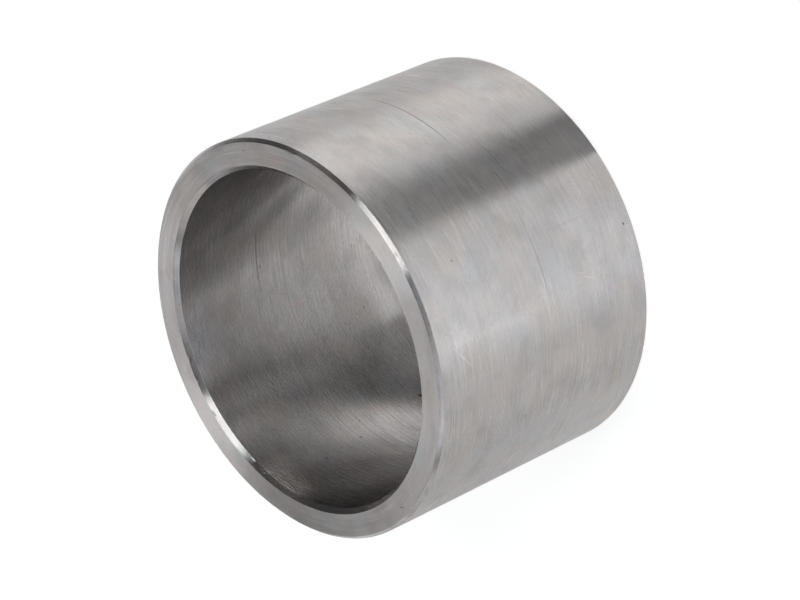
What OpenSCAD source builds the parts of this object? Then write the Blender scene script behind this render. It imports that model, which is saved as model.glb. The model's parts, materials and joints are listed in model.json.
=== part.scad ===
// Spacer sleeve, turned in one piece from steel and faced square at both ends.
// Millimetres. It stands on its far end, with its axis along Z and its lower end face at Z = 0.

/* [Sleeve] */
// Diameter of the bore
bore_d = 55; // [10:0.5:120]
// Thickness of the wall, from the bore to the outside
wall_t = 5; // [3:0.25:20]
// Length from one end face to the other
sleeve_l = 45; // [8:0.5:160]

/* [Chamfers] */
// Leg of the 45 degree chamfer round the outside edge of each end
outer_chamfer = 0.55; // [0.1:0.05:1.3]
// Leg of the 45 degree chamfer at each mouth of the bore
bore_chamfer = 0.75; // [0.1:0.05:1.5]

/* [Hidden] */
$fn = 240;
bore_r = bore_d / 2;
outside_r = bore_r + wall_t;

// Corners of one end of the wall, from the bore to the outside, as [radius, depth below the end face]
function end_corners() = [
    [bore_r, bore_chamfer],
    [bore_r + bore_chamfer, 0],
    [outside_r - outer_chamfer, 0],
    [outside_r, outer_chamfer],
];

// Section through the wall: the lower end read outwards, then the upper end read back to the bore
function wall_section() = let (corners = end_corners(), last = len(corners) - 1) concat(
    corners,
    [for (i = [last:-1:0]) [corners[i][0], sleeve_l - corners[i][1]]]
);

// The turned sleeve: one section swept round the axis
module sleeve() {
    color("#A7A5A5")
        rotate_extrude()
            polygon(wall_section());
}

sleeve();
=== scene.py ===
"""A turned steel spacer sleeve standing on end: its worn form, its steel and the studio round it."""
import json
import logging
import math
from dataclasses import dataclass, replace
from enum import Enum
from typing import Iterator, NamedTuple

import bpy
import numpy as np
from mathutils import Matrix, Vector


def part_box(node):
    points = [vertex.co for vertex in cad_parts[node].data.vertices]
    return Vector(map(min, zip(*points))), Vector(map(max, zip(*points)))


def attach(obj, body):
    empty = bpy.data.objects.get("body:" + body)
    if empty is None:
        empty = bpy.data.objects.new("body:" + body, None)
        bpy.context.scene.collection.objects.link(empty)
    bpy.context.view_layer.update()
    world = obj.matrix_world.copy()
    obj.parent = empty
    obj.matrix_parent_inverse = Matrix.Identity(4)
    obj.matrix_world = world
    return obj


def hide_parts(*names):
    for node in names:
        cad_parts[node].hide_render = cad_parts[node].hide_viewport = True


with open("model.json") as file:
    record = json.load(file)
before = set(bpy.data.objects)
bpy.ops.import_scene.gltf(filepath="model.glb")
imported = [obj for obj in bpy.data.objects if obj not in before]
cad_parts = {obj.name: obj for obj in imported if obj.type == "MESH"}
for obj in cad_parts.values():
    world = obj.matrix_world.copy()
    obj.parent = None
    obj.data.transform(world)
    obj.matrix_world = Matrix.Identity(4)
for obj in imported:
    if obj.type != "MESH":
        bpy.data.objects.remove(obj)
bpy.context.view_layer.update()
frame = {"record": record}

MM = 0.001
# Most noise lies between the first and last of these values, about the middle one.
NOISE_LOW, NOISE_MIDDLE, NOISE_HIGH = 0.3, 0.5, 0.7
# The Mix node's colour sockets have numbers: what lies under, what lies over, and the result.
UNDER, OVER, MIXED = 6, 7, 2
# How far the floor, and what lies on it, is below the sleeve's foot, in millimetres.
FLOOR_DROP = 0.02
PAPER_DROP = 0.01
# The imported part's mounts, and the radii of the turned surfaces, in millimetres.
MOUNTS = {mount["name"]: mount["dims"] for mount in frame["record"]["mounts"] if mount["dims"]}
BORE_R = MOUNTS["bore"]["r_mm"]
OUTSIDE_R = MOUNTS["outside"]["r_mm"]
FACE_R = (BORE_R + OUTSIDE_R) / 2
log = logging.getLogger("sleeve")


def linear(hex_colour: str) -> tuple[float, float, float, float]:
    """Turns an sRGB hex colour into the linear numbers that a shader takes.

    Args:
        hex_colour: the colour as "#RRGGBB".

    Returns:
        Linear red, green and blue, and an alpha of 1.
    """
    parts = [int(hex_colour[i:i + 2], 16) / 255 for i in (1, 3, 5)]
    red, green, blue = (c / 12.92 if c <= 0.04045 else ((c + 0.055) / 1.055) ** 2.4 for c in parts)
    return red, green, blue, 1.0


def add_node(
    tree: bpy.types.NodeTree, kind: str, inputs: dict | None = None, **settings: object
) -> bpy.types.Node:
    """Adds a shader node, sets it up and fills its inputs.

    Args:
        tree: the node tree that gets the node.
        kind: the node's type, without the leading ShaderNode.
        inputs: a value or an output socket to link, for each input's name or number.
        settings: the node's own properties.

    Returns:
        The new node.
    """
    made = tree.nodes.new("ShaderNode" + kind)
    for name, value in settings.items():
        setattr(made, name, value)
    for key, value in (inputs or {}).items():
        if isinstance(value, bpy.types.NodeSocket):
            tree.links.new(value, made.inputs[key])
        else:
            made.inputs[key].default_value = value
    return made


def blank_material(name: str) -> bpy.types.Material:
    """Returns a new material with an empty node tree."""
    made = bpy.data.materials.new(name)
    made.use_nodes = True
    made.node_tree.nodes.clear()
    return made


def smooth(share: np.ndarray) -> np.ndarray:
    """Returns a share from 0 to 1 eased at both ends."""
    return share * share * (3 - 2 * share)


def grid_mesh(name: str, points: np.ndarray, closed: tuple[bool, bool] = (False, False)) -> bpy.types.Mesh:
    """Joins a grid of points by four-sided faces.

    Args:
        name: the new mesh's name.
        points: the grid's rows, columns and coordinates, in metres.
        closed: whether the last row meets the first, and whether the last column does.

    Returns:
        The mesh.
    """
    index = np.arange(points[..., 0].size).reshape(points.shape[:2])
    if closed[0]:
        index = np.concatenate([index, index[:1]], 0)
    if closed[1]:
        index = np.concatenate([index, index[:, :1]], 1)
    faces = np.stack([index[:-1, :-1], index[1:, :-1], index[1:, 1:], index[:-1, 1:]], -1)
    made = bpy.data.meshes.new(name)
    made.from_pydata(points.reshape(-1, 3).tolist(), [], faces.reshape(-1, 4).tolist())
    return made


def reflected_only(name: str, mesh: bpy.types.Mesh) -> bpy.types.Object:
    """Stages a mesh that the camera sees only in reflections.

    Args:
        name: the new object's name.
        mesh: the mesh, with its material.

    Returns:
        The object.
    """
    made = bpy.data.objects.new(name, mesh)
    made.visible_camera = False
    made.visible_diffuse = False
    made.visible_shadow = False
    bpy.context.scene.collection.objects.link(made)
    return made


class Zone(Enum):
    """The turned surfaces of the sleeve, in the order that its section passes them."""

    BORE = 0
    UPPER_BORE_CHAMFER = 1
    UPPER_FACE = 2
    UPPER_OUTER_CHAMFER = 3
    OUTSIDE = 4
    LOWER_OUTER_CHAMFER = 5
    LOWER_FACE = 6
    LOWER_BORE_CHAMFER = 7


class Across(Enum):
    """What counts the lathe's grooves: the height on a wall, the radius on a face or chamfer."""

    HEIGHT = "height"
    RADIUS = "radius"


@dataclass(frozen=True)
class Blemish:
    """A mark in the surface: a scratch, pit, stained or rubbed patch.

    The turn round the axis is in degrees, and the other lengths are in millimetres. The place across
    the grooves is a height or a radius. The tilt is in degrees from the grooves. A dark pit, nick
    or groove line carries painted shade, and a pale scratch or pit a painted glint.
    """

    turn: float
    across: float
    length: float
    width: float
    tint: str = "#5C5856"
    share: float = 0.5
    depth: float = 0.0
    tilt: float = 0.0
    soft: float = 0.6
    ragged: float = 0.5


@dataclass(frozen=True)
class Grain:
    """A noise whose grains are drawn out along the cut. Lengths are in millimetres."""

    length: float
    width: float
    detail: float = 2.0


@dataclass(frozen=True)
class Tone:
    """A tint that covers the steel as its grain's noise goes from low to high, up to a share.

    Where low is the larger of the two, the tint covers the noise's small values.
    """

    tint: str
    grain: Grain
    low: float
    high: float
    share: float


@dataclass(frozen=True)
class Cut:
    """Furrows in the steel: their grain, and how deep they are in millimetres."""

    grain: Grain
    depth: float


class Skin(NamedTuple):
    """The steel's colour and its height in millimetres, each a plain value or a socket."""

    colour: object
    height: object


# The grains that the lathe leaves: the tool's furrows, short streaks and long ones.
FEED = Grain(14, 0.11)
STREAK = Grain(9, 0.16, 1.0)
LONG_STREAK = Grain(36, 0.45, 1.0)


@dataclass(frozen=True)
class CutSteel:
    """Carbon steel left bare from the lathe tool.

    The eye sees grey bands of the room, drawn out across the cut, with short streaks along it. The
    lengths are in millimetres. The tool's furrows are drawn at about a pixel of the picture, coarser
    than the real 0.05 mm feed, or they would not show. A pit sits in each cell whose chance is past
    the odds, and the numbers of its rim are shares of the cell.
    """

    name: str
    across: Across
    clean: str = "#C1BDBC"
    tones: tuple[Tone, ...] = (
        Tone("#9C9897", STREAK, 0.36, 0.66, 0.12),
        Tone("#8C8887", LONG_STREAK, 0.62, 0.72, 0.14),
        Tone("#9C9897", Grain(0.5, 0.3, 1.0), 0.35, 0.70, 0.20),
        Tone("#A29E9D", Grain(5.0, 4.0, 3.0), 0.42, 0.70, 0.45),
        Tone("#C2B9B0", Grain(8.0, 7.0, 1.5), 0.52, 0.66, 0.30),
        Tone("#B5B9BC", Grain(8.0, 7.0, 1.5), 0.46, 0.34, 0.30),
        Tone("#C2B5B6", Grain(3.4, 3.0, 2.0), 0.54, 0.70, 0.32),
    )
    cuts: tuple[Cut, ...] = (Cut(FEED, 0.034), Cut(STREAK, 0.006), Cut(LONG_STREAK, 0.006))
    roughness: float = 0.30
    uneven: float = 0.045
    grain: float = 1.0
    grain_turn: float = 0.25
    ring: float = OUTSIDE_R
    pit_cell: float = 1.6
    pit_odds: tuple[float, float] = (0.80, 0.86)
    pit_rim: tuple[float, float] = (0.088, 0.044)
    pit_depth: float = 0.012
    # The pits' dark tint and its share are painted shade in their hollows.
    pit_shade_tint: str = "#4C4846"
    pit_shade: float = 0.45
    specks: Grain = Grain(0.5, 0.35)
    marks: tuple[Blemish, ...] = ()

    def build(self) -> bpy.types.Material:
        """Returns the steel as a material."""
        made = blank_material(self.name)
        tree = made.node_tree
        lathe, spot = self.unroll(tree)
        grains = {part.grain for part in (*self.tones, *self.cuts)}
        noises = {grain: self.noise(tree, lathe, grain) for grain in sorted(grains, key=str)}
        skin = self.turned(tree, noises)
        skin = self.pitted(tree, lathe, skin)
        skin = self.marked(tree, lathe, spot, skin)
        relief = add_node(tree, "Bump", {"Height": skin.height, "Distance": MM})
        rough = add_node(tree, "MapRange", {
            "Value": noises[STREAK],
            "From Min": NOISE_LOW,
            "From Max": NOISE_HIGH,
            "To Min": self.roughness - self.uneven,
            "To Max": self.roughness + self.uneven,
        }).outputs[0]
        around = add_node(tree, "Tangent", direction_type="RADIAL", axis="Z")
        shader = add_node(tree, "BsdfPrincipled", {
            "Base Color": skin.colour,
            "Metallic": 1.0,
            "Roughness": rough,
            "Anisotropic": self.grain,
            "Anisotropic Rotation": self.grain_turn,
            "Normal": relief.outputs[0],
            "Tangent": around.outputs["Tangent"],
        })
        add_node(tree, "OutputMaterial", {"Surface": shader.outputs["BSDF"]})
        return made

    def unroll(self, tree: bpy.types.NodeTree) -> tuple[bpy.types.NodeSocket, bpy.types.NodeSocket]:
        """Finds each point's place on the turned surface, as if the surface had one radius.

        Args:
            tree: the node tree of the steel.

        Returns:
            The place in space, and the arc length with the place across the grooves, in millimetres.
        """
        place = add_node(tree, "TexCoord").outputs["Object"]
        place = add_node(tree, "VectorMath", {0: place, "Scale": 1 / MM}, operation="SCALE").outputs[0]
        x, y, z = add_node(tree, "SeparateXYZ", {0: place}).outputs
        flat = add_node(tree, "CombineXYZ", {"X": x, "Y": y}).outputs[0]
        across = z
        if self.across is Across.RADIUS:
            across = add_node(tree, "VectorMath", {0: flat}, operation="LENGTH").outputs["Value"]
        out = add_node(tree, "VectorMath", {0: flat}, operation="NORMALIZE").outputs[0]
        out = add_node(tree, "VectorMath", {0: out, "Scale": self.ring}, operation="SCALE").outputs[0]
        lift = add_node(tree, "CombineXYZ", {"Z": across}).outputs[0]
        lathe = add_node(tree, "VectorMath", {0: out, 1: lift}, operation="ADD").outputs[0]
        turn = add_node(tree, "Math", {0: y, 1: x}, operation="ARCTAN2").outputs[0]
        arc = add_node(tree, "Math", {0: turn, 1: self.ring}, operation="MULTIPLY").outputs[0]
        spot = add_node(tree, "CombineXYZ", {"X": arc, "Y": across}).outputs[0]
        return lathe, spot

    @staticmethod
    def noise(
        tree: bpy.types.NodeTree, lathe: bpy.types.NodeSocket, grain: Grain
    ) -> bpy.types.NodeSocket:
        """Lays a noise over the turned surface.

        Args:
            tree: the node tree of the steel.
            lathe: the place on the turned surface, in millimetres.
            grain: the size of the noise's grains.

        Returns:
            The noise, from 0 to 1.
        """
        size = (1 / grain.length, 1 / grain.length, 1 / grain.width)
        scaled = add_node(tree, "VectorMath", {0: lathe, 1: size}, operation="MULTIPLY").outputs[0]
        return add_node(tree, "TexNoise", {"Vector": scaled, "Scale": 1.0, "Detail": grain.detail}).outputs[0]

    def turned(self, tree: bpy.types.NodeTree, noises: dict[Grain, bpy.types.NodeSocket]) -> Skin:
        """Lays the tints and furrows of the cut over clean steel.

        Args:
            tree: the node tree of the steel.
            noises: the noise of each grain.

        Returns:
            The steel as it leaves the lathe.
        """
        colour: object = linear(self.clean)
        for tone in self.tones:
            share = add_node(tree, "MapRange", {
                "Value": noises[tone.grain],
                "From Min": tone.low,
                "From Max": tone.high,
                "To Max": tone.share,
            }, interpolation_type="SMOOTHSTEP").outputs[0]
            mixed = {0: share, UNDER: colour, OVER: linear(tone.tint)}
            colour = add_node(tree, "Mix", mixed, data_type="RGBA").outputs[MIXED]
        height: object = 0.0
        for cut in self.cuts:
            deeper = {0: noises[cut.grain], 1: cut.depth, 2: height}
            height = add_node(tree, "Math", deeper, operation="MULTIPLY_ADD").outputs[0]
        return Skin(colour, height)

    def pitted(self, tree: bpy.types.NodeTree, lathe: bpy.types.NodeSocket, skin: Skin) -> Skin:
        """Strews small pits over the steel, darkened with painted shade.

        Args:
            tree: the node tree of the steel.
            lathe: the place on the turned surface, in millimetres.
            skin: the steel so far.

        Returns:
            The steel with its pits.
        """
        scaled = {0: lathe, "Scale": 1 / self.pit_cell}
        cell = add_node(tree, "VectorMath", scaled, operation="SCALE").outputs[0]
        cells = add_node(tree, "TexVoronoi", {"Vector": cell, "Scale": 1.0})
        chance = add_node(tree, "SeparateColor", {0: cells.outputs["Color"]}).outputs[0]
        none, full = self.pit_odds
        few = add_node(tree, "MapRange", {"Value": chance, "From Min": none, "From Max": full}).outputs[0]
        outer, inner = self.pit_rim
        rim = {"Value": cells.outputs["Distance"], "From Min": outer, "From Max": inner}
        hole = add_node(tree, "MapRange", rim, interpolation_type="SMOOTHSTEP").outputs[0]
        pits = add_node(tree, "Math", {0: few, 1: hole}, operation="MULTIPLY").outputs[0]
        pit_shading = add_node(tree, "Math", {0: pits, 1: self.pit_shade}, operation="MULTIPLY").outputs[0]
        mixed = {0: pit_shading, UNDER: skin.colour, OVER: linear(self.pit_shade_tint)}
        colour = add_node(tree, "Mix", mixed, data_type="RGBA").outputs[MIXED]
        deeper = {0: pits, 1: -self.pit_depth, 2: skin.height}
        height = add_node(tree, "Math", deeper, operation="MULTIPLY_ADD").outputs[0]
        return Skin(colour, height)

    def marked(
        self, tree: bpy.types.NodeTree, lathe: bpy.types.NodeSocket, spot: bpy.types.NodeSocket, skin: Skin
    ) -> Skin:
        """Lays the steel's own marks over it, the dark pits with painted shade and the pale scratches with a
        painted glint.

        Args:
            tree: the node tree of the steel.
            lathe: the place on the turned surface, in millimetres.
            spot: the arc length and the place across the grooves, in millimetres.
            skin: the steel so far.

        Returns:
            The steel with its marks.
        """
        specks = self.noise(tree, lathe, self.specks)
        frayed = add_node(tree, "Math", {0: specks, 1: NOISE_MIDDLE}, operation="SUBTRACT").outputs[0]
        colour, height = skin
        for mark in self.marks:
            mask = self.mask(tree, spot, frayed, mark)
            mixed = {0: mask, UNDER: colour, OVER: linear(mark.tint)}
            colour = add_node(tree, "Mix", mixed, data_type="RGBA").outputs[MIXED]
            if mark.depth:
                deeper = {0: mask, 1: -mark.depth / mark.share, 2: height}
                height = add_node(tree, "Math", deeper, operation="MULTIPLY_ADD").outputs[0]
        return Skin(colour, height)

    def mask(
        self,
        tree: bpy.types.NodeTree,
        spot: bpy.types.NodeSocket,
        frayed: bpy.types.NodeSocket,
        mark: Blemish,
    ) -> bpy.types.NodeSocket:
        """Shapes one mark.

        Args:
            tree: the node tree of the steel.
            spot: the arc length and the place across the grooves, in millimetres.
            frayed: a fine noise about 0 that makes the mark's outline uneven.
            mark: the mark.

        Returns:
            The mark's share of the surface, 0 outside it.
        """
        centre = (math.radians(mark.turn) * self.ring, mark.across, 0.0)
        off = add_node(tree, "VectorMath", {0: spot, 1: centre}, operation="SUBTRACT").outputs[0]
        if mark.tilt:
            lean = {"Vector": off, "Angle": -math.radians(mark.tilt)}
            off = add_node(tree, "VectorRotate", lean, rotation_type="Z_AXIS").outputs[0]
        size = (2 / mark.length, 2 / mark.width, 0.0)
        shape = add_node(tree, "VectorMath", {0: off, 1: size}, operation="MULTIPLY").outputs[0]
        away = add_node(tree, "VectorMath", {0: shape}, operation="LENGTH").outputs["Value"]
        torn = {0: frayed, 1: mark.ragged * 2, 2: away}
        away = add_node(tree, "Math", torn, operation="MULTIPLY_ADD").outputs[0]
        rim = {"Value": away, "From Min": 1.0, "From Max": 1.0 - mark.soft, "To Max": mark.share}
        return add_node(tree, "MapRange", rim, interpolation_type="SMOOTHSTEP").outputs[0]


WALL_MARKS = (
    Blemish(-41, 23.1, 25, 0.32, "#5E5A58", 0.65, depth=0.012, ragged=0.2),
    Blemish(-97, 20.8, 19, 0.26, "#77736F", 0.50, depth=0.008, ragged=0.4),
    Blemish(-127, 23.1, 9, 0.22, "#807C79", 0.35, depth=0.004, ragged=0.5),
    Blemish(-52, 20.8, 5, 0.22, "#807C79", 0.40, depth=0.005, ragged=0.6),
    # A dark line over the rim grooves: painted shade in them.
    Blemish(-70, 44.15, 24, 0.2, "#5A5654", 0.55, soft=0.8, ragged=0.2),
    Blemish(-90.5, 12.5, 18, 0.22, "#85817E", 0.26, depth=0.002, tilt=90, ragged=0.5),
    # Three pits, darkened with painted shade.
    Blemish(-87.5, 36.3, 0.45, 0.4, "#3E3A38", 0.8, depth=0.012),
    Blemish(-139, 26.4, 0.5, 0.4, "#3E3A38", 0.8, depth=0.012),
    Blemish(-97, 2.2, 0.5, 0.5, "#3E3A38", 0.8, depth=0.012),
    # Three pale scratches, each a painted glint.
    Blemish(-106.5, 12, 3.4, 0.25, "#D8D6D4", 0.5, depth=0.004, tilt=62),
    Blemish(-104.5, 13.5, 2.4, 0.2, "#D8D6D4", 0.45, depth=0.004, tilt=70),
    Blemish(-113, 39.5, 5.0, 0.5, "#DADAD8", 0.55, depth=0.004, tilt=38, soft=0.9),
    Blemish(-103.5, 39.8, 2.2, 1.6, "#D6D4D2", 0.4, soft=0.9, ragged=0.9),
    Blemish(-108.5, 29, 3.2, 24, "#DAD6D0", 0.24, soft=0.9, ragged=1.3),
    Blemish(-107, 40, 5.0, 7, "#DEDAD6", 0.30, soft=0.9, ragged=1.0),
    Blemish(-140, 6.5, 8, 2.6, "#BDAF9C", 0.30, soft=0.9, ragged=1.0),
    Blemish(-132, 14, 2.2, 10, "#BDAF9C", 0.26, soft=0.9, ragged=1.0),
    Blemish(-113, 5, 5, 3.4, "#BDAF9C", 0.28, soft=0.9, ragged=1.0),
    Blemish(-17, 40.5, 2.4, 2, "#C3ABA6", 0.35, soft=0.9, ragged=0.9),
    Blemish(-19, 11.8, 2.4, 2, "#C3ABA6", 0.35, soft=0.9, ragged=0.9),
    Blemish(-15, 34.3, 3.4, 1.6, "#D6D4D2", 0.35, soft=0.9, ragged=0.9),
    Blemish(-143.5, 35.5, 4.5, 4.5, "#A9B1BC", 0.35, soft=0.9, ragged=0.9),
    Blemish(-164, 24.8, 1.4, 0.9, "#8A8886", 0.4, soft=0.9, ragged=0.9),
)
BORE_MARKS = (
    Blemish(58, 28.1, 16, 0.26, "#5A5654", 0.55, depth=0.010, ragged=0.3),
    # Pits, darkened with painted shade.
    Blemish(61, 27.5, 0.5, 0.45, "#2E2A28", 0.8, depth=0.012),
    Blemish(132, 25.5, 0.5, 0.45, "#2E2A28", 0.7, depth=0.012),
    Blemish(134, 33.9, 0.55, 0.5, "#2E2A28", 0.7, depth=0.012),
    Blemish(127, 9.8, 0.9, 0.7, "#1E1A18", 0.9, depth=0.018),
    Blemish(67, 7.6, 0.5, 0.4, "#2E2A28", 0.7, depth=0.012),
    Blemish(89, 8.8, 0.5, 0.4, "#2E2A28", 0.7, depth=0.012),
    # A pale pit: a painted glint in it.
    Blemish(110, 8.3, 1.0, 0.6, "#E2E0DE", 0.7, depth=0.010),
    Blemish(84, 26.2, 1.5, 3.0, "#D2D0CE", 0.5, soft=0.9, ragged=1.0),
    Blemish(79, 21, 3.0, 4.0, "#C8B0AA", 0.35, soft=0.9, ragged=1.0),
    Blemish(124, 18.7, 3.4, 4.0, "#C8B0AA", 0.35, soft=0.9, ragged=1.0),
)
FACE_MARKS = (
    # Pits, darkened with painted shade.
    Blemish(-15.6, 30.6, 0.4, 0.35, "#3E3A38", 0.7, depth=0.01),
    Blemish(141.4, 30.94, 0.4, 0.35, "#3E3A38", 0.7, depth=0.01),
    Blemish(-164.6, 30.66, 1.4, 0.3, "#4E4A48", 0.6, depth=0.01, tilt=25),
    Blemish(-79.2, 28.3, 0.4, 0.35, "#3E3A38", 0.7, depth=0.01),
    Blemish(-29.4, 29.7, 2.6, 1.6, "#C9B0AA", 0.35, soft=0.9, ragged=1.0),
    Blemish(-18.5, 32.2, 0.8, 0.5, "#8A6A52", 0.5, soft=0.8),
    # A pit by a nick, darkened with painted shade.
    Blemish(-122.4, 28.2, 0.6, 0.35, "#3A3634", 0.7, depth=0.01),
)


@dataclass(frozen=True)
class Knock:
    """A nick in an edge.

    Its turn is in degrees, its place across is counted from its zone's start, and the lengths are in
    millimetres.
    """

    zone: Zone
    turn: float
    across: float
    length: float
    width: float
    depth: float

    def relief(self, turn: np.ndarray, off: np.ndarray, radius: float) -> np.ndarray:
        """Works out how deep the nick goes.

        Args:
            turn: the angle of each column, in radians.
            off: the distance of each row from the zone's start, in millimetres.
            radius: the radius that turns an angle into a length.

        Returns:
            The depth of each point, in millimetres.
        """
        aside = (turn - math.radians(self.turn) + math.pi) % (2 * math.pi) - math.pi
        away = (aside * radius / self.length) ** 2 + ((off - self.across) / self.width) ** 2
        return self.depth * np.exp(-away)


@dataclass(frozen=True)
class RimGroove:
    """A shallow groove round the outside, by the upper rim, that comes and goes on its way.

    The lengths are in millimetres. Its depth swings about a mean share, in a few waves a turn.
    """

    across: float
    depth: float
    width: float = 0.05
    mean: float = 0.6
    swing: float = 0.4
    waves: int = 3
    shift: float = 9.0

    def relief(self, turn: np.ndarray, off: np.ndarray) -> np.ndarray:
        """Works out how deep the groove goes.

        Args:
            turn: the angle of each column, in radians.
            off: the distance of each row from the start of the outside, in millimetres.

        Returns:
            The depth of each point, in millimetres.
        """
        fade = self.mean + self.swing * np.sin(self.waves * turn + self.shift * self.across)
        return self.depth * fade * np.exp(-((off - self.across) / self.width) ** 2)


@dataclass(frozen=True)
class EdgeWear:
    """The waviness that handling leaves along the upper end's edges.

    The depth and the reach from the edge are in millimetres. The depth's unevenness comes from waves
    that run a whole number of times round the edge.
    """

    depth: float = 0.006
    reach: float = 0.12
    uneven: float = 0.6
    waves: int = 60
    orders: tuple[int, int] = (8, 260)
    seed: int = 5

    def relief(self, turn: np.ndarray, along: np.ndarray, starts: dict[Zone, float]) -> np.ndarray:
        """Works out how far the edges are worn.

        Args:
            turn: the angle of each column, in radians.
            along: the distance of each row along the section, in millimetres.
            starts: each zone's first distance along the section.

        Returns:
            The depth of each point, in millimetres.
        """
        depth = np.zeros((along.shape[0], turn.shape[1]))
        chance = np.random.default_rng(self.seed)
        for zone in (Zone.UPPER_BORE_CHAMFER, Zone.UPPER_FACE, Zone.UPPER_OUTER_CHAMFER, Zone.OUTSIDE):
            wave = np.zeros_like(turn)
            for _ in range(self.waves):
                order = chance.integers(*self.orders)
                wave += np.cos(order * turn + chance.uniform(0, 2 * math.pi)) / math.sqrt(self.waves / 2)
            near = np.exp(-((along - starts[zone]) / self.reach) ** 2)
            depth += self.depth * np.maximum(1.0 + self.uneven * wave, 0.0) * near
        return depth


KNOCKS = (
    Knock(Zone.UPPER_OUTER_CHAMFER, -36.3, 0.0, 0.7, 0.20, 0.05),
    Knock(Zone.UPPER_OUTER_CHAMFER, -80.3, 0.2, 0.5, 0.20, 0.04),
    Knock(Zone.UPPER_OUTER_CHAMFER, -152.0, 0.6, 0.8, 0.20, 0.06),
    Knock(Zone.UPPER_OUTER_CHAMFER, -168.6, 0.5, 0.7, 0.20, 0.05),
    Knock(Zone.UPPER_BORE_CHAMFER, 81.4, 0.9, 0.5, 0.18, 0.05),
    Knock(Zone.UPPER_BORE_CHAMFER, 88.3, 1.0, 0.5, 0.18, 0.05),
    Knock(Zone.UPPER_BORE_CHAMFER, 101.3, 1.05, 0.6, 0.18, 0.05),
    Knock(Zone.UPPER_BORE_CHAMFER, 123.0, 0.1, 0.8, 0.22, 0.06),
    Knock(Zone.UPPER_BORE_CHAMFER, 127.5, 0.3, 0.6, 0.20, 0.05),
    Knock(Zone.UPPER_BORE_CHAMFER, -122.4, 1.0, 0.6, 0.20, 0.05),
)
RIM_GROOVES = (RimGroove(0.17, 0.012), RimGroove(0.36, 0.008))


class Station(NamedTuple):
    """A point of the section.

    It has its place, its outward normal, its zone and its distance along the section.
    """

    radius: float
    height: float
    out: float
    up: float
    zone: Zone
    along: float


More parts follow.
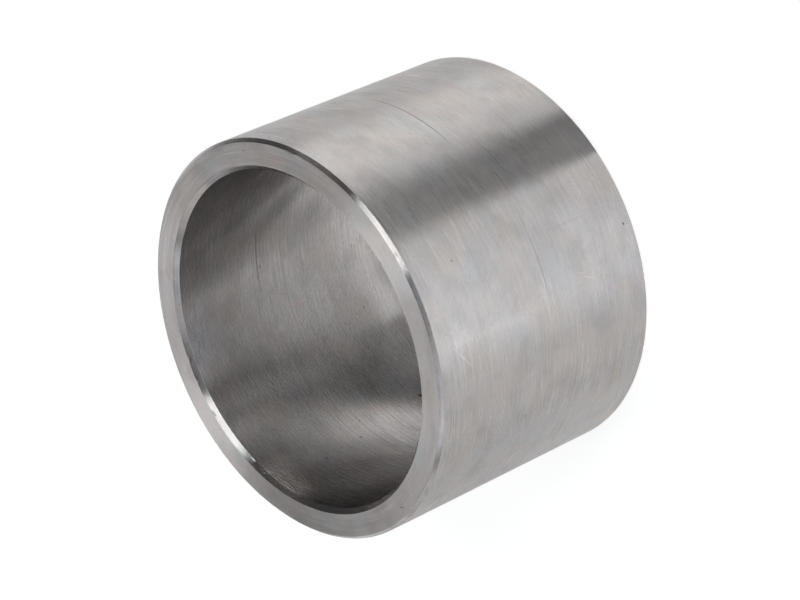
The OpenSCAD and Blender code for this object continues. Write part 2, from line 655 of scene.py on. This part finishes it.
@dataclass
class Sleeve:
    """The turned ring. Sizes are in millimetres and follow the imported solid."""

    bore_r: float
    outside_r: float
    length: float
    bore_chamfer: float
    outer_chamfer: float
    edge_r: float = 0.06
    edge_steps: int = 3
    segments: int = 1024
    strips: int = 6
    chamfer_strips: int = 8
    near_edge: tuple[float, ...] = (0.09, 0.14, 0.2, 0.28, 0.38)
    rim_start: float = 0.07
    rim_step: float = 0.04
    rim_rows: int = 11
    wear: EdgeWear = EdgeWear()
    # Turned outside: furrows round the wall stretch what it mirrors into bands along the axis.
    outside_steel: CutSteel = CutSteel("Turned steel", Across.HEIGHT, marks=WALL_MARKS)
    # Bored inside: finer furrows in paler steel keep more of the light's shape.
    bore_steel: CutSteel = CutSteel(
        "Bored steel", Across.HEIGHT, clean="#C6C2C1", roughness=0.27, uneven=0.025, ring=BORE_R,
        cuts=(Cut(FEED, 0.010), Cut(STREAK, 0.003), Cut(LONG_STREAK, 0.008)), marks=BORE_MARKS,
    )
    # Faced ends: rings round the axis give an even satin grey.
    faced_steel: CutSteel = CutSteel(
        "Faced steel", Across.RADIUS, roughness=0.33, uneven=0.04, ring=FACE_R,
        cuts=(Cut(FEED, 0.014), Cut(STREAK, 0.005), Cut(LONG_STREAK, 0.005)), marks=FACE_MARKS,
    )
    # Chamfers: the smoothest strips, which flash where they face a panel.
    chamfer_steel: CutSteel = CutSteel(
        "Chamfered steel", Across.RADIUS, roughness=0.24, uneven=0.02, grain=0.9, ring=FACE_R,
        cuts=(Cut(FEED, 0.002), Cut(STREAK, 0.003)), marks=FACE_MARKS,
    )

    @classmethod
    def from_frame(cls) -> "Sleeve":
        """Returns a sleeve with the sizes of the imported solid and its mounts."""
        low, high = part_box("sleeve")
        length = (high[2] - low[2]) / MM
        return cls(
            bore_r=BORE_R,
            # The solid's mesh has flats, so half its narrower side keeps the sleeve inside its box.
            outside_r=min(high[0] - low[0], high[1] - low[1]) / 2 / MM,
            length=length,
            bore_chamfer=(length - MOUNTS["bore"]["length_mm"]) / 2,
            outer_chamfer=(length - MOUNTS["outside"]["length_mm"]) / 2,
        )

    def corners(self) -> list[Vector]:
        """Returns the section's corners as (radius, height), each at the start of its zone."""
        lower = [
            (self.bore_r, self.bore_chamfer),
            (self.bore_r + self.bore_chamfer, 0.0),
            (self.outside_r - self.outer_chamfer, 0.0),
            (self.outside_r, self.outer_chamfer),
        ]
        upper = [(r, self.length - z) for r, z in lower]
        return [Vector(c) for c in (lower[0], *upper, *lower[:0:-1])]

    def between(self, zone: Zone, length: float) -> list[float]:
        """Spaces the stations between a zone's two edges, closest where its marks are finest.

        Args:
            zone: the zone.
            length: how long it is along the section, in millimetres.

        Returns:
            Each station's distance from the zone's start, in millimetres.
        """
        even = [length * i / self.strips for i in range(1, self.strips)]
        far_edge = [length - d for d in reversed(self.near_edge)]
        if zone is Zone.BORE:
            return [*even, *far_edge]
        if zone is Zone.OUTSIDE:
            return [*(self.rim_start + self.rim_step * i for i in range(self.rim_rows)), *even]
        if zone is Zone.UPPER_FACE:
            return [*self.near_edge, *even, *far_edge]
        if zone in (Zone.UPPER_BORE_CHAMFER, Zone.UPPER_OUTER_CHAMFER):
            return [length * i / self.chamfer_strips for i in range(1, self.chamfer_strips)]
        return [length / 2]

    def section(self) -> Iterator[Station]:
        """Yields the section's stations, with every corner rounded off a little."""
        corners = self.corners()
        zones = list(Zone)
        start = 0.0
        for i, corner in enumerate(corners):
            following = corners[(i + 1) % len(corners)]
            before = (corner - corners[i - 1]).normalized()
            after = (following - corner).normalized()
            turn = before.angle_signed(after)
            reach = self.edge_r * math.tan(abs(turn) / 2)
            first = Vector((-before.y, before.x))
            centre = corner - before * reach - first * self.edge_r
            for step in range(self.edge_steps + 1):
                share = step / self.edge_steps
                normal = first.copy()
                normal.rotate(Matrix.Rotation(-turn * share, 2))
                point = centre + normal * self.edge_r
                zone = zones[i] if share > 0.5 else zones[i - 1]
                yield Station(point.x, point.y, normal.x, normal.y, zone, start + reach * (2 * share - 1))
            normal = Vector((-after.y, after.x))
            length = (following - corner).length
            for distance in self.between(zones[i], length):
                point = corner + after * distance
                yield Station(point.x, point.y, normal.x, normal.y, zones[i], start + distance)
            start += length

    def zone_starts(self) -> dict[Zone, float]:
        """Returns each zone's first distance along the section."""
        corners = self.corners()
        lengths = [(corners[(i + 1) % len(corners)] - c).length for i, c in enumerate(corners)]
        return {zone: sum(lengths[:i]) for i, zone in enumerate(Zone)}

    def relief(self, turn: np.ndarray, along: np.ndarray) -> np.ndarray:
        """Works out how deep the surface lies below the true form.

        Args:
            turn: the angle of each column, in radians.
            along: the distance of each row along the section, in millimetres.

        Returns:
            The depth of each point, in millimetres.
        """
        starts = self.zone_starts()
        middle_r = (self.bore_r + self.outside_r) / 2
        knocked = sum(knock.relief(turn, along - starts[knock.zone], middle_r) for knock in KNOCKS)
        grooved = sum(groove.relief(turn, along - starts[Zone.OUTSIDE]) for groove in RIM_GROOVES)
        return knocked + self.wear.relief(turn, along, starts) + grooved

    def surface(self, stations: list[Station]) -> tuple[np.ndarray, np.ndarray]:
        """Works out the worn surface.

        Args:
            stations: the section's stations, one for each row of points.

        Returns:
            The points, in millimetres, and their normals.
        """
        listed = np.array([(s.radius, s.height, s.out, s.up, s.along) for s in stations])
        radius, height, out, up, along = listed.T[..., None]
        turn = np.linspace(0.0, 2 * math.pi, self.segments, endpoint=False)[None, :]
        depth = self.relief(turn, along)
        slope_along = np.gradient(depth, along[:, 0], axis=0)
        wrapped = np.concatenate([depth[:, -1:], depth, depth[:, :1]], 1)
        slope_round = (wrapped[:, 2:] - wrapped[:, :-2]) / (2 * (turn[0, 1] - turn[0, 0]) * radius)
        cos, sin = np.cos(turn), np.sin(turn)
        flat = np.zeros_like(depth)
        normal = np.stack([out * cos, out * sin, up + flat], -1)
        round_way = np.stack([-sin + flat, cos + flat, flat], -1)
        along_way = np.stack([up * cos, up * sin, -out + flat], -1)
        points = np.stack([radius * cos, radius * sin, height + flat], -1) - depth[..., None] * normal
        normals = normal + slope_round[..., None] * round_way + slope_along[..., None] * along_way
        return points, normals / np.linalg.norm(normals, axis=-1, keepdims=True)

    def build(self) -> bpy.types.Object:
        """Returns the sleeve's mesh object, with its normals set to the worn form."""
        stations = list(self.section())
        points, normals = self.surface(stations)
        mesh = grid_mesh("turned_sleeve", points * MM, closed=(True, True))
        mesh.shade_smooth()
        mesh.polygons.foreach_set("material_index", self.dress(mesh, stations))
        mesh.normals_split_custom_set_from_vertices(normals.reshape(-1, 3).tolist())
        made = bpy.data.objects.new("turned_sleeve", mesh)
        bpy.context.scene.collection.objects.link(made)
        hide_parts("sleeve")
        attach(made, "root")
        return made

    def dress(self, mesh: bpy.types.Mesh, stations: list[Station]) -> list[int]:
        """Gives the mesh its steels.

        Args:
            mesh: the sleeve's mesh.
            stations: the section's stations, one for each ring of faces.

        Returns:
            The material's number for each face.
        """
        lower = replace(self.faced_steel, name="Faced steel, lower end", marks=())
        lower_chamfer = replace(self.chamfer_steel, name="Chamfered steel, lower end", marks=())
        steels = {
            Zone.BORE: self.bore_steel,
            Zone.UPPER_BORE_CHAMFER: self.chamfer_steel,
            Zone.UPPER_FACE: self.faced_steel,
            Zone.UPPER_OUTER_CHAMFER: self.chamfer_steel,
            Zone.OUTSIDE: self.outside_steel,
            Zone.LOWER_OUTER_CHAMFER: lower_chamfer,
            Zone.LOWER_FACE: lower,
            Zone.LOWER_BORE_CHAMFER: lower_chamfer,
        }
        finishes = list(dict.fromkeys(steels.values()))
        for steel in finishes:
            mesh.materials.append(steel.build())
        numbers = [finishes.index(steels[station.zone]) for station in stations]
        return np.repeat(numbers, self.segments).tolist()


@dataclass(frozen=True)
class Panel:
    """A soft light panel far off in the studio.

    Its angles are in degrees, its level is linear and its distance is in metres. It is a piece of a
    sphere, kept above the floor and short of the zenith.
    """

    name: str
    azimuth: float
    elevation: float
    width: float
    height: float
    level: float
    soft: float = 8.0
    tint: str = "#FFFFFF"
    distance: float = 2.5
    step: float = 2.0
    fewest: int = 4
    lowest: float = 0.3
    highest: float = 89.5

    def cloth(self) -> bpy.types.Material:
        """Returns the panel's cloth, which glows as far as its fade goes."""
        # Diffusion cloth before a lamp: the steel mirrors it as a band with soft edges.
        made = blank_material("Diffusion cloth, " + self.name)
        tree = made.node_tree
        share = add_node(tree, "Attribute", attribute_name="fade").outputs["Fac"]
        strength = add_node(tree, "Math", {0: share, 1: self.level}, operation="MULTIPLY").outputs[0]
        glow = add_node(tree, "Emission", {"Color": linear(self.tint), "Strength": strength})
        bare = add_node(tree, "BsdfTransparent")
        both = add_node(tree, "AddShader", {0: glow.outputs[0], 1: bare.outputs[0]})
        add_node(tree, "OutputMaterial", {"Surface": both.outputs[0]})
        return made

    def build(self) -> bpy.types.Object:
        """Returns the panel, with its fade towards the edges on its points."""
        wide, high = self.width + self.soft, self.height + self.soft
        columns, rows = (max(self.fewest, round(size / self.step)) for size in (wide, high))
        aside = np.linspace(-wide / 2, wide / 2, columns + 1)
        above = np.linspace(-high / 2, high / 2, rows + 1)
        side, rise = np.meshgrid(aside, above)
        azimuth = np.radians(self.azimuth + side)
        elevation = np.radians(np.clip(self.elevation + rise, self.lowest, self.highest))
        level = np.cos(elevation)
        points = np.stack([level * np.cos(azimuth), level * np.sin(azimuth), np.sin(elevation)], -1)
        fade = np.ones_like(side)
        for size, off in ((wide, side), (high, rise)):
            fade *= smooth(np.clip((size / 2 - np.abs(off)) / self.soft, 0, 1))
        mesh = grid_mesh(self.name, points * self.distance)
        mesh.attributes.new("fade", "FLOAT", "POINT").data.foreach_set("value", fade.ravel())
        mesh.materials.append(self.cloth())
        made = bpy.data.objects.new(self.name, mesh)
        made.visible_camera = False
        bpy.context.scene.collection.objects.link(made)
        return made


@dataclass(frozen=True)
class Card:
    """A grey card of painted shade on the floor, hidden from the camera, which the sleeve mirrors as a band
    down its side.

    It starts at the foot of the wall and follows the sight lines that the wall turns away. Its turns
    round the axis are in degrees, with a cover for each, and its reaches are in millimetres from the
    wall, with a part and a shade for each. At each point it hides the cover times the part of what
    lies under it.
    """

    name: str
    turns: tuple[float, ...]
    cover: tuple[float, ...]
    reaches: tuple[float, ...]
    parts: tuple[float, ...]
    shades: tuple[str, ...]

    def painted_shade(self) -> bpy.types.Material:
        """Returns the card's painted shade, which lets the floor through where its cover is thin."""
        # Painted shade on a grey card: the wall mirrors it as a dull, darker stretch.
        made = blank_material("Grey felt, " + self.name)
        tree = made.node_tree
        shown = add_node(tree, "Attribute", attribute_name="cover").outputs["Fac"]
        colour = add_node(tree, "Attribute", attribute_name="shade").outputs["Color"]
        cloth = add_node(tree, "BsdfDiffuse", {"Color": colour})
        bare = add_node(tree, "BsdfTransparent")
        mixed = add_node(tree, "MixShader", {0: shown, 1: bare.outputs[0], 2: cloth.outputs[0]})
        add_node(tree, "OutputMaterial", {"Surface": mixed.outputs[0]})
        return made

    def build(self) -> bpy.types.Object:
        """Returns the card, which only shows in reflections."""
        turn = np.radians(self.turns)[:, None]
        ahead = 2 * turn + math.pi / 2
        x = OUTSIDE_R * np.cos(turn) + np.array(self.reaches) * np.cos(ahead)
        y = OUTSIDE_R * np.sin(turn) + np.array(self.reaches) * np.sin(ahead)
        mesh = grid_mesh(self.name, np.stack([x, y, np.full_like(x, -PAPER_DROP)], -1) * MM)
        cover = np.outer(self.cover, self.parts)
        shade = np.array([[linear(colour) for colour in self.shades]] * len(self.turns))
        mesh.attributes.new("cover", "FLOAT", "POINT").data.foreach_set("value", cover.ravel())
        mesh.attributes.new("shade", "FLOAT_COLOR", "POINT").data.foreach_set("color", shade.ravel())
        mesh.materials.append(self.painted_shade())
        return reflected_only(self.name, mesh)


@dataclass(frozen=True)
class Oval:
    """A soft oval of painted light or painted shade on the sheet under the bore.

    Its lengths are in millimetres, its tilt is in degrees from +X and its level is linear.
    """

    x: float
    y: float
    length: float
    width: float
    tilt: float
    level: float
    soft: float

    def lay(self, x: np.ndarray, y: np.ndarray, level: np.ndarray) -> np.ndarray:
        """Blends the oval over the sheet.

        Args:
            x: the sheet's points across, in millimetres.
            y: the sheet's points along, in millimetres.
            level: the light so far at each point.

        Returns:
            The light at each point with the oval over it.
        """
        cos, sin = math.cos(math.radians(self.tilt)), math.sin(math.radians(self.tilt))
        along = (x - self.x) * cos + (y - self.y) * sin
        aside = (y - self.y) * cos - (x - self.x) * sin
        away = np.hypot(along * 2 / self.length, aside * 2 / self.width)
        inside = smooth(np.clip((1 + self.soft / 2 - away) / self.soft, 0, 1))
        return level * (1 - inside) + self.level * inside


@dataclass(frozen=True)
class BoreLightSheet:
    """The round sheet under the bore, hidden from the camera, which glows with painted light and shade in
    place of what falls through the mouth.

    Its radii are in millimetres, and its level is linear.
    """

    name: str = "bore_light_sheet"
    radius: float = BORE_R - 0.1
    inner_r: float = 0.01
    level: float = 0.6
    rings: int = 40
    sectors: int = 180
    ovals: tuple[Oval, ...] = (
        Oval(-5, -22, 76, 20, -20, 0.0, 0.2),
        Oval(25, -7, 32, 38, -45, 0.0, 0.2),
        Oval(2, 5, 42, 18.5, -67, 0.0, 0.1),
        Oval(-18, 18, 24, 8, 60, 0.0, 0.3),
        Oval(6.5, 17, 21, 7, -38, 1.5, 0.1),
        Oval(-1, 20, 12, 3, 0, 1.0, 0.1),
        Oval(-10, 2, 27, 14, 12, 1.3, 0.15),
        Oval(10, -12, 8, 6, 10, 1.5, 0.6),
    )

    def paper(self) -> bpy.types.Material:
        """Returns the sheet's material, whose glow is the painted light and shade on its points."""
        # Painted light and shade as a glow: the bore mirrors it as broad soft shapes.
        made = blank_material("Painted light and shade, bore")
        tree = made.node_tree
        lit = add_node(tree, "Attribute", attribute_name="level").outputs["Fac"]
        glow = add_node(tree, "Emission", {"Strength": lit})
        add_node(tree, "OutputMaterial", {"Surface": glow.outputs[0]})
        return made

    def build(self) -> bpy.types.Object:
        """Returns the sheet, which only shows in the bore's reflections."""
        turn = np.linspace(0.0, 2 * math.pi, self.sectors, endpoint=False)[None, :]
        radius = np.linspace(self.inner_r, self.radius, self.rings)[:, None]
        x, y = radius * np.cos(turn), radius * np.sin(turn)
        level = np.full_like(x, self.level)
        for oval in self.ovals:
            level = oval.lay(x, y, level)
        points = np.stack([x, y, np.full_like(x, -PAPER_DROP)], -1)
        mesh = grid_mesh(self.name, points * MM, closed=(False, True))
        mesh.attributes.new("level", "FLOAT", "POINT").data.foreach_set("value", level.ravel())
        mesh.materials.append(self.paper())
        return reflected_only(self.name, mesh)


@dataclass
class Studio:
    """The dim room, its soft light panels, the pale floor, the cards of painted shade on it and the sheet of
    painted light and shade under the bore.

    The levels are linear, and the floor's half width is in metres.
    """

    room_level: float = 0.06
    panels: tuple[Panel, ...] = (
        Panel("key_panel", -137, 36, 100, 15, 1.6, soft=12, tint="#F4F9FF"),
        Panel("key_top_panel", -157, 63, 45, 10, 1.5),
        Panel("low_panel", -109, 4, 46, 10, 5.2, soft=6, tint="#E8F2FF"),
        Panel("low_right_panel", -56, 12, 8, 15, 2.3, soft=6),
        Panel("right_low_panel", -10, 3, 28, 10, 8.0, soft=7, tint="#FFFBF4"),
        Panel("back_panel", 86, 20, 21, 47, 1.4),
        Panel("overhead_panel", 53, 75, 90, 17, 2.8),
        Panel("left_panel", 154, 22, 36, 24, 0.8),
        Panel("low_back_panel", 125, 8, 34, 10, 0.9, soft=4),
        Panel("accent_panel", -53.5, 51, 50, 21, 3.1, soft=7, tint="#FAFFFF"),
        Panel("top_left_panel", 115, 56, 60, 14, 0.8),
    )
    # Sheets of painted shade, seen only in the steel: a dark band that is paler near the wall, and dimmer
    # stretches either side.
    cards: tuple[Card, ...] = (
        Card(
            "band_card",
            turns=(-76.4, -75.8, -63.5, -59.0),
            cover=(0.0, 1.0, 1.0, 0.0),
            reaches=(0.0, 15.0, 60.0, 150.0),
            parts=(1.0, 1.0, 1.0, 1.0),
            shades=("#DCDCDC", "#B8B8B8", "#707070", "#505050"),
        ),
        Card(
            "left_card",
            turns=(-179.0, -173.0, -166.0, -150.0, -130.0, -112.0),
            cover=(2.2, 2.0, 1.0, 1.0, 0.7, 0.0),
            reaches=(0.0, 12.0, 50.0, 150.0),
            parts=(0.1, 0.2, 0.45, 0.45),
            shades=("#D0D0D0",) * 4,
        ),
        Card(
            "right_card",
            turns=(-46.0, -34.0, -24.0, -14.0, -8.0, -1.0),
            cover=(0.0, 1.0, 1.0, 0.3, 2.4, 3.0),
            reaches=(0.0, 12.0, 50.0, 150.0),
            parts=(0.05, 0.1, 0.2, 0.3),
            shades=("#D0D0D0",) * 4,
        ),
    )
    # Painted light and shade that the bore mirrors, hidden from the camera.
    bore_light_sheet: BoreLightSheet = BoreLightSheet()
    floor_half: float = 3.0
    floor_colour: str = "#E2E2E2"
    floor_roughness: float = 0.9
    floor_lift: float = 0.65

    def light(self) -> None:
        """Sets the dim, even room, hangs the panels, and lays the cards of painted shade and the bore's sheet
        of painted light and shade.
        """
        room = bpy.data.worlds.new("Dim room")
        room.use_nodes = True
        room.node_tree.nodes.clear()
        even = {"Color": linear("#FFFFFF"), "Strength": self.room_level}
        glow = add_node(room.node_tree, "Background", even)
        add_node(room.node_tree, "OutputWorld", {"Surface": glow.outputs[0]})
        bpy.context.scene.world = room
        for staged in (*self.panels, *self.cards, self.bore_light_sheet):
            staged.build()

    def floor_paper(self) -> bpy.types.Material:
        """Returns the floor's paper, lifted towards white for the camera and for the steel."""
        # Matt white paper: plain and pale, with the sleeve's soft shadow on it.
        made = blank_material("White paper, matt")
        tree = made.node_tree
        rays = add_node(tree, "LightPath")
        seen = rays.outputs["Is Camera Ray"]
        for kind in ("Is Glossy Ray", "Is Transmission Ray"):
            seen = add_node(tree, "Math", {0: seen, 1: rays.outputs[kind]}, operation="MAXIMUM").outputs[0]
        lift = add_node(tree, "Math", {0: seen, 1: self.floor_lift}, operation="MULTIPLY").outputs[0]
        shader = add_node(tree, "BsdfPrincipled", {
            "Base Color": linear(self.floor_colour),
            "Roughness": self.floor_roughness,
            "Specular IOR Level": 0.0,
            "Emission Color": linear("#FFFFFF"),
            "Emission Strength": lift,
        })
        add_node(tree, "OutputMaterial", {"Surface": shader.outputs["BSDF"]})
        return made

    def lay_floor(self) -> bpy.types.Object:
        """Returns the pale floor, a little below the sleeve's lower face."""
        half, drop = self.floor_half, -FLOOR_DROP * MM
        corners = [(-half, -half, drop), (half, -half, drop), (half, half, drop), (-half, half, drop)]
        mesh = bpy.data.meshes.new("floor")
        mesh.from_pydata(corners, [], [(0, 1, 2, 3)])
        mesh.materials.append(self.floor_paper())
        made = bpy.data.objects.new("floor", mesh)
        bpy.context.scene.collection.objects.link(made)
        return made


@dataclass(frozen=True)
class Camera:
    """The telephoto camera, level bearing along +Y, looking down at the sleeve and rolled on its side."""

    lens: float = 154.494
    sensor: float = 36.0
    distance: float = 539.53
    elevation: float = 38.021
    roll: float = 113.931
    aim: tuple[float, float, float] = (-0.784, 0.116, 22.648)

    def place(self) -> bpy.types.Object:
        """Returns the camera, set as the scene's own."""
        data = bpy.data.cameras.new("camera")
        data.lens = self.lens
        data.sensor_width = self.sensor
        made = bpy.data.objects.new("camera", data)
        bpy.context.scene.collection.objects.link(made)
        turn = Matrix.Rotation(math.radians(90 - self.elevation), 4, "X")
        turn @= Matrix.Rotation(math.radians(-self.roll), 4, "Z")
        back = turn @ Vector((0.0, 0.0, self.distance))
        made.matrix_world = Matrix.Translation((Vector(self.aim) + back) * MM) @ turn
        bpy.context.scene.camera = made
        return made


def main() -> None:
    """Builds the camera, the studio and the sleeve."""
    logging.basicConfig(level=logging.INFO, format="%(message)s")
    bpy.context.scene.view_settings.view_transform = "Standard"
    Camera().place()
    studio = Studio()
    studio.light()
    studio.lay_floor()
    sleeve = Sleeve.from_frame()
    made = sleeve.build()
    log.info("%s: %d faces", made.name, len(made.data.polygons))


if __name__ == "__main__":
    main()
